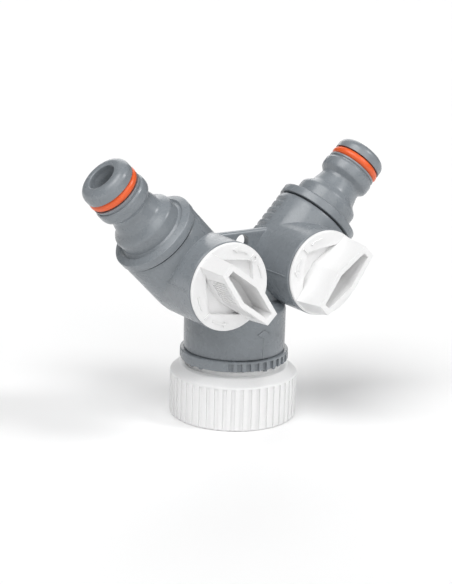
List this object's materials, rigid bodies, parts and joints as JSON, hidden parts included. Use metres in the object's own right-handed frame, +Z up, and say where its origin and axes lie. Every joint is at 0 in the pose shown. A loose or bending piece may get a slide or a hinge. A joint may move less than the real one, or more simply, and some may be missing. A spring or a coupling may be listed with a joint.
{
  "type": "hose splitter",
  "caption": "Y-shaped garden hose splitter with a shut-off knob and a quick-connect nipple on each arm and a threaded inlet nut.",
  "frame": {"origin": "centre of the inlet nut's open end, on the inlet axis", "axes": "+Z up the inlet axis towards the outlets, the two arms lie in the XZ plane, and the valve knobs face -Y"},
  "size_m": [0.1006, 0.0504, 0.0799],
  "materials": {
    "grey_plastic": "satin moulded glass-filled nylon or ABS",
    "white_plastic": "satin moulded ABS",
    "orange_rubber": "smooth silicone or nitrile, slightly glossy",
    "black_rubber": "smooth nitrile",
    "seat_plastic": "waxy low-friction plastic"
  },
  "bodies": {
    "manifold": {"manifold_body": "grey_plastic", "lock_ring": "grey_plastic", "tailpiece": "white_plastic", "tailpiece_oring": "black_rubber", "left_nipple": "grey_plastic", "left_nose_oring": "orange_rubber", "left_socket_oring": "black_rubber", "left_inlet_seat": "seat_plastic", "left_outlet_seat": "seat_plastic", "right_nipple": "grey_plastic", "right_nose_oring": "orange_rubber", "right_socket_oring": "black_rubber", "right_inlet_seat": "seat_plastic", "right_outlet_seat": "seat_plastic"},
    "nut": {"coupling_nut": "white_plastic", "reducer_adapter": "white_plastic", "nut_washer": "black_rubber", "reducer_washer": "black_rubber"},
    "left_valve": {"left_valve_knob": "white_plastic", "left_valve_ball": "seat_plastic", "left_stem_oring": "black_rubber"},
    "right_valve": {"right_valve_knob": "white_plastic", "right_valve_ball": "seat_plastic", "right_stem_oring": "black_rubber"}
  },
  "joints": [
    {"name": "nut_spin", "type": "hinge", "parent": "manifold", "child": "nut", "pos_m": [0, 0, 0.0075], "axis": [0, 0, 1], "continuous": true},
    {"name": "left_knob_turn", "type": "hinge", "parent": "manifold", "child": "left_valve", "pos_m": [-0.01659, -0.00065, 0.04552], "axis": [0, 1, 0], "range_deg": [0, 90]},
    {"name": "right_knob_turn", "type": "hinge", "parent": "manifold", "child": "right_valve", "pos_m": [0.01659, -0.00065, 0.04552], "axis": [0, -1, 0], "range_deg": [0, 90]}
  ]
}
